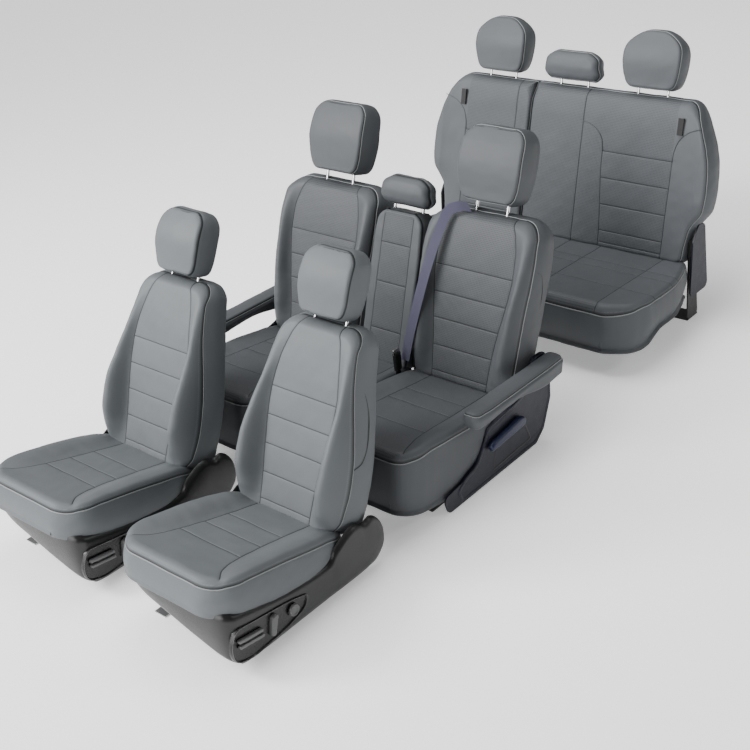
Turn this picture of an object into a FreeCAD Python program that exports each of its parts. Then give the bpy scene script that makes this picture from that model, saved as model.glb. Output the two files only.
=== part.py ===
"""Seat cover set fitted on a three-row set of car seats.

Row frame: +Z up, seats face -Y, +X is the sitter's left. The origin is on the floor at the
centre of the second row. Millimetres. Each soft part is a foam core with a thin fitted cover
over it. Headrest pads slide on steel posts, backs turn on pins in the seat frames, the front
seats slide on floor rails, and the front seats carry power seat switches.
"""
import FreeCAD, Part
import math
import os
from FreeCAD import Vector

# ---------------------------------------------------------------- driving dimensions
COVER = 4.0                 # thickness of a fitted cover with its foam backing
SLACK = 0.5                 # air left between a cover and its core
POST_R = 6.0                # headrest post radius
PIN_R = 9.0                 # recline pin radius
FIT = 0.08                  # radial room round a post or a pin in its hole
PLATE = 6.0                 # thickness of a frame plate
TRIM = 6.0                  # thickness of moulded trim
BOLT_R = 5.5                # floor bolt hole radius

FRONT_X = 352.0             # front seats' distance from the centre plane
FRONT_Y = -890.0            # front row, where cushion and back meet
MID_X = 12.0                # centre of the second row
MID_PITCH = 368.0           # from the centre seat to each outer seat
REAR_Y = 1180.0             # third row, where cushion and back meet

# One dictionary for each kind of seat. tilt is the back's lean from upright and slope the
# cushion's rise to the front, in degrees. bight is the height where cushion and back meet.
# back and plan are half outlines. bolster is the low and the high end of each raised side of
# the back, as (x, height, radius, how far it stands proud), and wing the same for the cushion,
# as (x, y, radius, rise).
FRONT = dict(bight=200.0, tilt=25.0, slope=15.0, thick=140.0, length=500.0, deep=104.0,
             back=[(176, 0), (212, 150), (206, 300), (186, 450), (176, 560), (118, 640)],
             plan=[(222, 30), (250, -160), (250, -360), (206, -500)],
             head=(108, 112, 222, 655, 12), plate_x=216.0,
             bolster=[(138, 110, 75, 56), (142, 250, 68, 52), (128, 440, 48, 20)],
             wing=[(184, -72, 44, 16), (190, -372, 44, 16)])
MID = dict(bight=238.0, tilt=20.0, slope=7.0, thick=130.0, length=565.0, deep=172.0,
           back=[(196, 0), (226, 160), (228, 330), (222, 480), (208, 570), (150, 630)],
           plan=[(226, 30), (240, -200), (240, -430), (214, -565)],
           head=(130, 118, 264, 668, 8), plate_x=228.0,
           bolster=[(160, 120, 58, 34), (164, 300, 56, 34), (156, 440, 48, 20)],
           wing=[(180, -74, 44, 14), (188, -430, 44, 14)])
CENTRE = dict(bight=238.0, tilt=20.0, slope=7.0, thick=110.0, length=500.0, deep=120.0,
              back=[(114, 0), (117, 200), (117, 400), (110, 520), (96, 565), (70, 575)],
              plan=[(112, 30), (116, -200), (116, -420), (104, -500)],
              head=(112, 92, 104, 598, 8), plate_x=118.5, bolster=[], wing=[])
REAR = dict(bight=280.0, tilt=15.3, slope=3.0, thick=124.0, length=520.0, deep=152.0,
            bolster=[], wing=[])
REAR_HALF = 686.0           # half the bench's width at its widest
REAR_SPLIT = -185.0         # where the single and the double back part
REAR_GAP = 5.0              # half the gap there
REAR_TOP = 645.0            # top of the bench back
REAR_SIDE = [(612, 0), (622, 128), (686, 228), (682, 390), (634, 535), (572, 645)]
REAR_HEADS = {"rear_right": (-384, 132, 112, 228, 674), "rear_centre": (-10, 130, 96, 116, 672),
              "rear_left": (368, 132, 112, 228, 674)}
MID_SHIELD = 244.0          # inner face of a second row side panel, from the seat's centre
# The belt's inner face down the back, as (height up the back, how far it stands proud).
BELT_PATH = [(70, 22), (110, 35.5), (300, 35.5), (444, 21.5), (600, 1.6)]
BELT_THICK = 1.2
ARM_IN, ARM_OUT = 252.0, 324.0          # an armrest's inner and outer face, from the same centre
ARM_PIVOT = (168.0, 318.0)              # its pivot, y and z
ARM_FRONT, ARM_REAR = -292.0, 212.0     # its ends, y
LEVER_AT = (14.0, 157.0)                # the recline lever's shaft, y and z
RAIL_X = 176.0              # floor rails, from a front seat's centre
SHIELD_X = 252.0            # inner face of a front seat's side shield, from its centre
PANEL_X = SHIELD_X + TRIM   # inner face of the switch panel
PANEL = [(-500, 96), (-500, 134), (-470, 172), (-250, 128), (-178, 104), (-206, 66), (-300, 52),
         (-440, 58)]
# Each switch's shaft: y from the seat's bight, and z.
SWITCH_AT = {"slide": (-424, 110), "recline": (-330, 92), "lumbar": (-246, 92)}
SHAFT_R = 5.0               # switch shaft radius
PRESS = 2.0                 # room behind the round switch, which is pressed in
POST_GAP = 68.0             # half the distance between a headrest's two posts
POST_DEPTH = 128.0          # how far a post reaches into the back

OUT = "parts"


# ---------------------------------------------------------------- small helpers
def box(x0, x1, y0, y1, z0, z1):
    """A box from its limits."""
    return Part.makeBox(x1 - x0, y1 - y0, z1 - z0, Vector(x0, y0, z0))


def rod(p, direction, radius, length):
    """A cylinder from point p along direction."""
    return Part.makeCylinder(radius, length, Vector(*p), Vector(*direction))


def rounded(points, radius):
    """A closed wire through 3-D points in one plane, each corner an arc of up to radius."""
    pts = [Vector(*p) for p in points]
    ends = []
    for i, p in enumerate(pts):
        before = pts[i - 1] - p
        after = pts[(i + 1) % len(pts)] - p
        half = before.getAngle(after) / 2
        reach = min(0.45 * before.Length, 0.45 * after.Length)
        r = min(radius, reach * math.tan(half))
        cut = r / math.tan(half)
        middle = before.normalize() + after.normalize()
        deep = r / math.sin(half) - r
        arc_mid = p + (middle.normalize() * deep if middle.Length > 1e-6 else Vector())
        ends.append((p + before * cut, arc_mid, p + after * cut))
    edges = []
    for i, (start, mid, end) in enumerate(ends):
        if (start - end).Length > 0.5:
            edges.append(Part.Arc(start, mid, end).toShape())
        edges.append(Part.LineSegment(end, ends[(i + 1) % len(ends)][0]).toShape())
    return Part.Wire(edges)


def extrude(wire, offset, direction):
    """The solid swept by wire, drawn in by offset first, along direction."""
    if offset:
        wire = wire.makeOffset2D(-offset)
    return upright(Part.Face(wire).extrude(Vector(*direction)))


def upright(solid):
    """The same solid with its faces turned outwards."""
    if solid.Volume < 0:
        solid.reverse()
    return solid


def turned(shape, angle, x, y, z):
    """shape leaned by angle degrees about the X axis, then moved to x, y, z."""
    made = shape.copy()
    made.rotate(Vector(0, 0, 0), Vector(1, 0, 0), -angle)
    made.translate(Vector(x, y, z))
    return made


def pivot_up(seat):
    """How far up the back its pivot sits, so that the rounded foot just clears the cushion."""
    radius = seat["thick"] / 2
    lean = math.radians(seat["tilt"] - seat["slope"])
    return (radius * (1 + math.sin(lean)) + 3) / math.cos(lean)


def pivot(seat, y):
    """The recline pivot's y and z in the row frame."""
    radius, up, lean = seat["thick"] / 2, pivot_up(seat), math.radians(seat["tilt"])
    return (y + up * math.sin(lean) + radius * math.cos(lean),
            seat["bight"] + up * math.cos(lean) - radius * math.sin(lean))


def save(name, *shapes):
    """Writes one node: one solid, or several that stay separate."""
    solids = [s for shape in shapes for s in shape.Solids]
    for s in solids:
        if not s.isValid() or s.Volume <= 0:
            print("BAD SOLID", name, s.Volume)
    Part.makeCompound(solids).exportStep(os.path.join(OUT, name + ".step"))
    print(f"{name}: {len(solids)} solids, {sum(s.Volume for s in solids) / 1e6:.2f} litres")


# ---------------------------------------------------------------- soft parts
def back_side(thick, top, up, offset):
    """The back's side outline in its own frame (depth, height): a round foot about the pivot,
    flat faces and a rounded top that is thinner than the foot."""
    r = thick / 2 - offset
    y0, y1, z1 = offset, thick - offset, top - offset
    crown = 0.32 * thick
    edges = [
        Part.Arc(Vector(0, y0, up), Vector(0, thick / 2, up - r), Vector(0, y1, up)).toShape(),
        Part.LineSegment(Vector(0, y1, up), Vector(0, y1 - 14, z1 - crown)).toShape(),
        Part.Arc(Vector(0, y1 - 14, z1 - crown), Vector(0, (y0 + y1) / 2 + 2, z1),
                 Vector(0, y0 + 8, z1 - crown)).toShape(),
        Part.LineSegment(Vector(0, y0 + 8, z1 - crown), Vector(0, y0, up)).toShape(),
    ]
    return Part.Wire(edges)


def back_solid(seat, outline, top, offset):
    """A back in its own frame: x across, y behind its front face, z up from the bight."""
    up = pivot_up(seat)
    wide = 2 * REAR_HALF
    side = Part.Face(back_side(seat["thick"], top, up, offset)).extrude(Vector(2 * wide, 0, 0))
    side.translate(Vector(-wide, 0, 0))
    front = extrude(rounded([(x, -20, z) for x, z in outline], 45), offset,
                    (0, seat["thick"] + 40, 0))
    ends = [((x, radius - proud, z), radius - offset) for x, z, radius, proud in seat["bolster"]]
    return side.common(front).fuse(both_sides(ends)) if ends else side.common(front)


def both_sides(ends):
    """Round-ended tapered bars on both sides of the centre, each through the (centre, radius)
    balls in ends."""
    bars = []
    for s in (-1, 1):
        centres = [Vector(s * x, y, z) for (x, y, z), _ in ends]
        radii = [radius for _, radius in ends]
        bars += [Part.makeSphere(r, c) for r, c in zip(radii, centres)]
        for i in range(len(ends) - 1):
            along = centres[i + 1] - centres[i]
            if abs(radii[i] - radii[i + 1]) < 0.01:
                bars.append(Part.makeCylinder(radii[i], along.Length, centres[i], along))
            else:
                bars.append(Part.makeCone(radii[i], radii[i + 1], along.Length, centres[i], along))
    return bars


def mirrored_outline(half):
    """A symmetric outline from its right half, listed from the foot up."""
    return [(half[0][0], -80)] + half + [(-x, z) for x, z in reversed(half)] + [(-half[0][0], -80)]


def post_holes(seat, heads, top, radius):
    """The round holes for headrest posts, in the back's own frame."""
    holes = []
    for x in heads:
        for side in (-1, 1):
            holes.append(rod((x + side * POST_GAP, seat["thick"] / 2, top - POST_DEPTH - 6),
                             (0, 0, 1), radius, POST_DEPTH + 60))
    return holes


def back_parts(name, seat, outline, heads, x, y, pin_faces):
    """Core and cover of one back. pin_faces are the x of the core's two ends at the pivot."""
    top = max(z for _, z in outline)
    up = pivot_up(seat)
    middle = seat["thick"] / 2
    outer = back_solid(seat, outline, top, 0)
    inner = back_solid(seat, outline, top, COVER)
    core = back_solid(seat, outline, top, COVER + SLACK)
    low, high = pin_faces
    pins = [rod((low - 60, middle, up), (1, 0, 0), PIN_R + FIT, 78),
            rod((high - 18, middle, up), (1, 0, 0), PIN_R + FIT, 78)]
    holes = post_holes(seat, heads, top, POST_R + FIT)
    core = core.cut(holes + pins)
    mouth = box(-2000, 2000, -50, seat["thick"] + 50, -200, up - middle * 0.55)
    slots = [rod((low - 60, middle, up), (1, 0, 0), PIN_R + 8, 90),
             rod((high - 30, middle, up), (1, 0, 0), PIN_R + 8, 90)]
    collars = post_holes(seat, heads, top, POST_R + 3)
    cover = outer.cut([inner, mouth] + slots + collars)
    save(name + "_back_core", turned(core, seat["tilt"], x, y, seat["bight"]))
    save(name + "_back_cover", turned(cover, seat["tilt"], x, y, seat["bight"]))


def cushion_solid(seat, plan, offset):
    """A cushion in its own frame: x across, y to the rear, z up from its top face."""
    deep = seat["deep"]
    points = plan + [(-x, y) for x, y in reversed(plan)]
    body = extrude(rounded([(px, py, -deep) for px, py in points], 90), offset, (0, 0, deep))
    nose = 46 - offset
    front, rear, top = -seat["length"] + offset, 60, -offset
    side = Part.Wire([
        Part.LineSegment(Vector(0, rear, top), Vector(0, front + nose, top)).toShape(),
        Part.Arc(Vector(0, front + nose, top),
                 Vector(0, front + nose * 0.293, top - nose * 0.293),
                 Vector(0, front, top - nose)).toShape(),
        Part.LineSegment(Vector(0, front, top - nose), Vector(0, front, -deep - 10)).toShape(),
        Part.LineSegment(Vector(0, front, -deep - 10), Vector(0, rear, -deep - 10)).toShape(),
        Part.LineSegment(Vector(0, rear, -deep - 10), Vector(0, rear, top)).toShape()])
    profile = Part.Face(side).extrude(Vector(1600, 0, 0))
    profile.translate(Vector(-800, 0, 0))
    ends = [((px, py, rise - radius), radius - offset) for px, py, radius, rise in seat["wing"]]
    return body.common(profile).fuse(both_sides(ends)) if ends else body.common(profile)


def cushion_parts(seat, plan, x, y):
    """(core, cover) of one cushion, placed. The cover is open below."""
    outer = cushion_solid(seat, plan, 0)
    inner = cushion_solid(seat, plan, COVER)
    core = cushion_solid(seat, plan, COVER + SLACK)
    core = core.cut(box(-900, 900, -900, 900, -seat["deep"] - 20, -seat["deep"] + 12))
    cover = outer.cut(inner)
    return [turned(s, seat["slope"], x, y, seat["bight"]) for s in (core, cover)]


def headrest(name, seat, back_top, size, x, y):
    """A headrest pad with two sockets, and its two posts. size is (half width, depth, height,
    height of its underside up the back, how far its face stands ahead of the back's face)."""
    half, depth, height, foot, ahead = size
    shrink = 0.80
    outline = rounded([(half * shrink, -ahead, foot), (half, -ahead, foot + height * 0.45),
                       (half * 0.93, -ahead, foot + height), (-half * 0.93, -ahead, foot + height),
                       (-half, -ahead, foot + height * 0.45), (-half * shrink, -ahead, foot)], 60)
    body = extrude(outline, 0, (0, depth, 0))
    y0, y1 = -ahead, depth - ahead
    side = rounded([(-400, y0 + 14, foot - 1), (-400, y0, foot + height * 0.5),
                    (-400, y0 + depth * 0.30, foot + height + 1),
                    (-400, y1 - depth * 0.22, foot + height + 1),
                    (-400, y1, foot + height * 0.35), (-400, y1 - 12, foot - 1)], 38)
    pad = body.common(extrude(side, 0, (800, 0, 0)))
    middle = seat["thick"] / 2
    socket = min(90.0, height * 0.55)
    posts, sockets = [], []
    for s in (-1, 1):
        start = (s * POST_GAP, middle, back_top - POST_DEPTH)
        length = foot + socket - start[2]
        sockets.append(rod((start[0], start[1], foot - 40), (0, 0, 1), POST_R, socket + 40))
        posts.append(rod(start, (0, 0, 1), POST_R, length))
    pad = pad.cut(sockets)
    save(name + "_headrest_cover", turned(pad, seat["tilt"], x, y, seat["bight"]))
    save(name + "_headrest_posts", *[turned(p, seat["tilt"], x, y, seat["bight"]) for p in posts])


# ---------------------------------------------------------------- frames, rails and trim
def pin_plates(seat, x, y, foot_z):
    """Two upright plates beside a back's foot, each with a pin into the back's core."""
    py, pz = pivot(seat, y)
    solids = []
    for s in (-1, 1):
        face = x + s * seat["plate_x"]
        out = face + s * PLATE
        low, high = min(face, out), max(face, out)
        wire = rounded([(low, py - 38, foot_z), (low, py + 46, foot_z), (low, py + 26, pz + 24),
                        (low, py - 26, pz + 24)], 18)
        plate = extrude(wire, 0, (high - low, 0, 0))
        pin = rod((face, py, pz), (-s, 0, 0), PIN_R, seat["plate_x"] - foot_half(seat) + 14)
        solids.append(plate.fuse(pin))
    return solids


def foot_half(seat):
    """Half the core's width at the pivot's height."""
    (x0, z0), (x1, z1) = seat["back"][0], seat["back"][1]
    return x0 + (x1 - x0) * (pivot_up(seat) - z0) / (z1 - z0) - COVER - SLACK


def floor_rails():
    """Two fixed rails for each front seat, with a bolt hole near each end."""
    rails = []
    for x in (-FRONT_X, FRONT_X):
        for s in (-1, 1):
            at = x + s * RAIL_X
            rail = box(at - 26, at + 26, FRONT_Y - 430, FRONT_Y + 180, 0, 5)
            rail = rail.fuse(box(at - 14, at + 14, FRONT_Y - 380, FRONT_Y + 130, 5, 22))
            ends = [rod((at, FRONT_Y + e, -1), (0, 0, 1), BOLT_R, 40) for e in (-405, 155)]
            rails.append(rail.cut(ends))
    return rails


def on_pan(seat, x, y, half, base, legs):
    """One welded frame: the sheet steel pan under a cushion's core, the legs that reach it and
    the base they stand on."""
    top = 12 - SLACK - seat["deep"]
    pan = box(-half, half, -0.84 * seat["length"], -10, top - 4, top)
    above = box(-900, 900, -900, 900, top, 900)
    pan, above = (turned(p, seat["slope"], x, y, seat["bight"]) for p in (pan, above))
    return base[0].fuse(base[1:] + [leg.cut(above) for leg in legs] + [pan])


def front_frame(x):
    """A front seat's moving frame: upper rails, uprights, cross tubes, pan and recline plates."""
    rails, legs = [], []
    for s in (-1, 1):
        at = x + s * RAIL_X
        rails.append(box(at - 16, at + 16, FRONT_Y - 360, FRONT_Y + 150, 23, 44))
        legs.append(box(at - 10, at + 10, FRONT_Y - 350, FRONT_Y - 314, 44, 300))
        legs.append(box(at - 10, at + 10, FRONT_Y - 40, FRONT_Y - 12, 44, 300))
        reach = sorted((at, x + s * (FRONT["plate_x"] + PLATE)))
        rails.append(box(reach[0], reach[1], FRONT_Y + 66, FRONT_Y + 142, 30, 44))
    rails += [box(x - RAIL_X, x + RAIL_X, FRONT_Y - 344, FRONT_Y - 320, 70, 94),
              box(x - RAIL_X, x + RAIL_X, FRONT_Y - 36, FRONT_Y - 16, 46, 66)]
    return on_pan(FRONT, x, FRONT_Y, RAIL_X, rails + pin_plates(FRONT, x, FRONT_Y, 30), legs)


def side_shield(low, points):
    """A moulded panel TRIM thick in the YZ plane, its inner face at x = low."""
    return extrude(rounded([(low, py, pz) for py, pz in points], 24), 0, (TRIM, 0, 0))


def front_trim(x):
    """A front seat's moulded base trim: two side shields, a front cover and the switch panel."""
    y = FRONT_Y
    side = [(y - 506, 218), (y - 60, 100), (y + 34, 82), (y + 66, 124), (y + 96, 184),
            (y + 142, 192), (y + 180, 160), (y + 190, 90), (y + 150, 24)]
    shields = [side_shield(x + SHIELD_X, side + [(y - 462, 24), (y - 516, 110)]),
               side_shield(x - SHIELD_X - TRIM, side + [(y - 300, 24), (y - 512, 158)])]
    front = [(y - 462, 24), (y - 516, 110), (y - 506, 214), (y - 500, 212), (y - 510, 110),
             (y - 456, 24)]
    wire = Part.makePolygon([Vector(x - SHIELD_X + 1, py, pz) for py, pz in front + front[:1]])
    cover = upright(Part.Face(wire).extrude(Vector(2 * SHIELD_X - 2, 0, 0)))
    slant = Part.makePolygon([Vector(x + px, y - 600, pz) for px, pz in
                              ((-300, -20), (300, -20), (300, 10), (-300, 170), (-300, -20))])
    cover = cover.cut(upright(Part.Face(slant).extrude(Vector(0, 200, 0))))
    panel = rounded([(x + PANEL_X, y + py, pz) for py, pz in PANEL], 22)
    panel = extrude(panel, 0, (5, 0, 0))
    bores = [rod((x + SHIELD_X - 1, y + py, pz), (1, 0, 0), SHAFT_R + FIT, 20)
             for py, pz in SWITCH_AT.values()]
    return [shields[0].cut(bores), shields[1], cover, panel.cut(bores)]


def switches(name, x):
    """The slide rocker, recline lever and round lumbar switch, each on a shaft in the panel."""
    top = x + PANEL_X + 5.5
    at = {key: (FRONT_Y + py, pz) for key, (py, pz) in SWITCH_AT.items()}
    sy, sz = at["slide"]
    ry, rz = at["recline"]
    ly, lz = at["lumbar"]
    rocker = box(top, top + 16, sy - 46, sy + 46, sz - 12, sz + 12)
    rocker = rocker.makeFillet(5, [e for e in rocker.Edges if e.BoundBox.XLength > 10])
    lever = box(top, top + 18, ry - 11, ry + 11, rz - 14, rz + 48)
    lever = lever.makeFillet(8, [e for e in lever.Edges if e.BoundBox.XLength > 10])
    disc = rod((top + PRESS, ly, lz), (1, 0, 0), 22, 14)
    for key, knob in (("slide", rocker), ("recline", lever), ("lumbar", disc)):
        shaft = rod((x + SHIELD_X + 1, at[key][0], at[key][1]), (1, 0, 0), SHAFT_R, 14)
        save(f"{name}_{key}_switch", knob.fuse(shaft))


# ---------------------------------------------------------------- rows
def front_row():
    """Two front seats on rails."""
    save("front_floor_rails", *floor_rails())
    outline = mirrored_outline(FRONT["back"])
    for name, x in (("front_left", FRONT_X), ("front_right", -FRONT_X)):
        save(name + "_seat_frame", front_frame(x))
        save(name + "_base_trim", *front_trim(x))
        core, cover = cushion_parts(FRONT, FRONT["plan"], x, FRONT_Y)
        save(name + "_cushion_core", core)
        save(name + "_cushion_cover", cover)
        half = foot_half(FRONT)
        back_parts(name, FRONT, outline, [0], x, FRONT_Y, (-half, half))
        headrest(name, FRONT, 640, FRONT["head"], x, FRONT_Y)
        switches(name, x)


def armrest(name, x, s):
    """An outer armrest pad that turns up about a pin at its rear end."""
    low, high = sorted((x + s * ARM_IN, x + s * ARM_OUT))
    z = ARM_PIVOT[1]
    wire = rounded([(low, ARM_FRONT, z - 8), (low, ARM_FRONT, z + 42), (low, ARM_REAR, z + 30),
                    (low, ARM_REAR, z - 34), (low, ARM_REAR - 190, z - 34)], 24)
    pad = extrude(wire, 0, (high - low, 0, 0))
    pad = pad.cut(rod((x + s * (ARM_IN - 30), ARM_PIVOT[0], z), (s, 0, 0), PIN_R + FIT, 60))
    save(name + "_armrest_cover", pad)


def mid_trim(x, s):
    """An outer seat's trim: a tall side panel that carries the armrest pin and a low inner one."""
    outer = [(-402, 2), (-420, 70), (-250, 90), (-196, 150), (-160, 214), (20, 232), (96, 262),
             (130, 352), (196, 352), (228, 296), (222, 150), (170, 40), (120, 2)]
    panel = side_shield(x + (MID_SHIELD if s > 0 else -MID_SHIELD - TRIM), outer)
    pin = rod((x + s * (MID_SHIELD + TRIM), ARM_PIVOT[0], ARM_PIVOT[1]), (s, 0, 0), PIN_R, 28)
    panel = panel.fuse(pin)
    if s > 0:
        panel = panel.cut(rod((x, LEVER_AT[0], LEVER_AT[1]), (1, 0, 0), SHAFT_R + FIT, 400))
    inner = [(-440, 2), (-452, 60), (-436, 100), (26, 48), (40, 2)]
    return [panel, side_shield(x - s * 217 - TRIM / 2, inner)]


def mid_frame(x, seat, half):
    """A second row seat's welded frame: legs on two skids, cross tubes, pan, recline plates."""
    base, legs = [], []
    holes = []
    for s in (-1, 1):
        at = x + s * half
        base.append(box(at - 16, at + 16, -420, 90, 0, 8))
        legs.append(box(at - 12, at + 12, -372, -340, 8, 300))
        legs.append(box(at - 12, at + 12, -60, -30, 8, 300))
        holes += [rod((at, e, -1), (0, 0, 1), BOLT_R, 12) for e in (-402, 60)]
        out = sorted((at, x + s * (seat["plate_x"] + PLATE)))
        base.append(box(out[0], out[1], 50, 90, 0, 8))
    base += [box(x - half, x + half, e, e + 20, 20, 40) for e in (-366, -54)]
    return on_pan(seat, x, 0, half, base + pin_plates(seat, x, 0, 4), legs).cut(holes)


def recline_lever():
    """The left outer seat's recline lever, with its shaft in the side panel."""
    low = MID_X + MID_PITCH + MID_SHIELD + TRIM + 0.5
    wire = rounded([(low, -160, 128), (low, -166, 156), (low, 12, 178), (low, 40, 166),
                    (low, 34, 138)], 14)
    shaft = rod((low - 5, LEVER_AT[0], LEVER_AT[1]), (1, 0, 0), SHAFT_R, 10)
    return extrude(wire, 0, (22, 0, 0)).fuse(shaft)


def seat_belt(x):
    """Belt webbing down the inner side of the left outer back, and its buckle on a stalk."""
    points = [Vector(-198, -proud, up) for up, proud in BELT_PATH]
    points += [p - Vector(0, BELT_THICK, 0) for p in reversed(points)]
    strip = Part.Face(Part.makePolygon(points + points[:1])).extrude(Vector(48, 0, 0))
    save("mid_left_belt_webbing", turned(strip, MID["tilt"], x, 0, MID["bight"]))
    inner = x - 238
    buckle = box(inner - 9, inner + 9, -66, -34, 262, 330)
    buckle = buckle.makeFillet(5, [e for e in buckle.Edges if e.BoundBox.ZLength > 20])
    stalk = box(inner - 3, inner + 3, -62, -40, 8, 264)
    save("mid_belt_buckle", buckle.fuse(stalk))


def mid_row():
    """Two outer seats with armrests and a narrow centre seat. Gives its frames and trims."""
    seats = {"mid_left": (MID_X + MID_PITCH, 1), "mid_right": (MID_X - MID_PITCH, -1)}
    strap = box(MID_X - 84, MID_X + 84, -12, 12, 0, 8)
    cores, frames, trims = [], [mid_frame(MID_X, CENTRE, 84).fuse(strap)], []
    outline = mirrored_outline(MID["back"])
    for name, (x, s) in seats.items():
        core, cover = cushion_parts(MID, MID["plan"], x, 0)
        cores.append(core)
        save(name + "_cushion_cover", cover)
        half = foot_half(MID)
        back_parts(name, MID, outline, [0], x, 0, (-half, half))
        headrest(name, MID, 630, MID["head"], x, 0)
        armrest(name, x, s)
        frames.append(mid_frame(x, MID, 176))
        trims += mid_trim(x, s)
    core, cover = cushion_parts(CENTRE, CENTRE["plan"], MID_X, 0)
    save("mid_centre_cushion_cover", cover)
    half = foot_half(CENTRE)
    back_parts("mid_centre", CENTRE, mirrored_outline(CENTRE["back"]), [0], MID_X, 0,
               (-half, half))
    headrest("mid_centre", CENTRE, 575, CENTRE["head"], MID_X, 0)
    save("mid_cushion_cores", core, *cores)
    save("mid_left_recline_lever", recline_lever())
    seat_belt(MID_X + MID_PITCH)
    return frames, trims


def rear_outline(low, high):
    """The bench back's outline between two x limits."""
    full = mirrored_outline(REAR_SIDE)
    if high < 0:
        side = [(x, z) for x, z in full if x < 0]
        return [(high, -80), (high, REAR_TOP)] + side
    side = [(x, z) for x, z in full if x > 0]
    return side + [(low, REAR_TOP), (low, -80)]


def rear_row():
    """A bench with one cushion, a single and a double back. Gives its frame and trims."""
    plan = [(640, 30), (694, -180), (694, -360), (560, -520)]
    core, cover = cushion_parts(REAR, plan, 0, REAR_Y)
    save("rear_cushion_core", core)
    save("rear_cushion_cover", cover)
    up = pivot_up(REAR)
    (x0, z0), (x1, z1) = REAR_SIDE[0], REAR_SIDE[1]
    edge = x0 + (x1 - x0) * (up - z0) / (z1 - z0) - COVER - SLACK
    inset = REAR_GAP + COVER + SLACK
    heads = {n: v[0] for n, v in REAR_HEADS.items()}
    back_parts("rear_single", REAR, rear_outline(-900, REAR_SPLIT - REAR_GAP),
               [heads["rear_right"]], 0, REAR_Y, (-edge, REAR_SPLIT - inset))
    back_parts("rear_double", REAR, rear_outline(REAR_SPLIT + REAR_GAP, 900),
               [heads["rear_centre"], heads["rear_left"]], 0, REAR_Y,
               (REAR_SPLIT + inset, edge))
    for name, (x, half, depth, height, foot) in REAR_HEADS.items():
        headrest(name, REAR, REAR_TOP, (half, depth, height, foot, 6), x, REAR_Y)
    pull_straps()
    return rear_frame(edge), [rear_trim(s) for s in (-1, 1)]


def pull_straps():
    """A webbing loop on each back, which the back is pulled down by."""
    for name, x in (("rear_single", -545), ("rear_double", 545)):
        strip = box(x - 12, x + 12, -9, -6, 510, 578)
        loop = strip.fuse([box(x - 12, x + 12, -6, -0.5, 572, 578),
                           box(x - 12, x + 12, -6, -0.5, 510, 516)])
        save(name + "_pull_strap", turned(loop, REAR["tilt"], 0, REAR_Y, REAR["bight"]))


def rear_plate(low, pin_from, pin_length):
    """An upright plate beside a bench back, with a pin along X through it."""
    py, pz = pivot(REAR, REAR_Y)
    wire = rounded([(low, py - 38, 4), (low, py + 46, 4), (low, py + 26, pz + 24),
                    (low, py - 26, pz + 24)], 18)
    return extrude(wire, 0, (PLATE, 0, 0)).fuse(rod((pin_from, py, pz), (1, 0, 0), PIN_R,
                                                    pin_length))


def rear_frame(edge):
    """The bench's welded frame: skids, legs, tubes, pan and three recline plates."""
    py = pivot(REAR, REAR_Y)[0]
    base, legs, holes = [], [], []
    for x in (-540, 540):
        base.append(box(x - 20, x + 20, REAR_Y - 320, REAR_Y + 120, 0, 6))
        legs += [box(x - 14, x + 14, REAR_Y + e, REAR_Y + e + 28, 6, 300) for e in (-280, -40)]
        holes += [rod((x, REAR_Y + e, -1), (0, 0, 1), BOLT_R, 10) for e in (-304, 100)]
    base += [box(-540, 540, REAR_Y + e, REAR_Y + e + 20, 60, 82) for e in (-276, -36)]
    base.append(box(-edge - 12 - PLATE, edge + 12 + PLATE, py - 38, py + 46, 0, 6))
    base += [rear_plate(-edge - 12 - PLATE, -edge - 12, 26), rear_plate(edge + 12, edge - 14, 26),
             rear_plate(REAR_SPLIT - PLATE / 2, REAR_SPLIT - 23, 46)]
    return on_pan(REAR, 0, REAR_Y, 560, base, legs).cut(holes)


def rear_trim(s):
    """A moulded panel beside the bench's hinge."""
    py, pz = pivot(REAR, REAR_Y)
    points = [(py - 60, 120), (py + 84, 120), (py + 62, pz + 72), (py + 10, pz + 84),
              (py - 36, pz + 20)]
    return side_shield(650 if s > 0 else -650 - TRIM, points)


def main():
    os.makedirs(OUT, exist_ok=True)
    front_row()
    frames, trims = mid_row()
    frame, rear_trims = rear_row()
    save("seat_frames", frame, *frames)
    save("side_trims", *(trims + rear_trims))


main()
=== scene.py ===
"""Looks for the seat cover set: fitted covers, moulded trim, chrome posts, floor and light.

Lengths are millimetres until a mesh is made. A pad is drawn on a face with a across and b
along it, and h standing out of it; a place then leans it and moves it into the row frame.
"""

import math

import bpy
import numpy as np
from mathutils import Matrix, Vector


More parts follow.
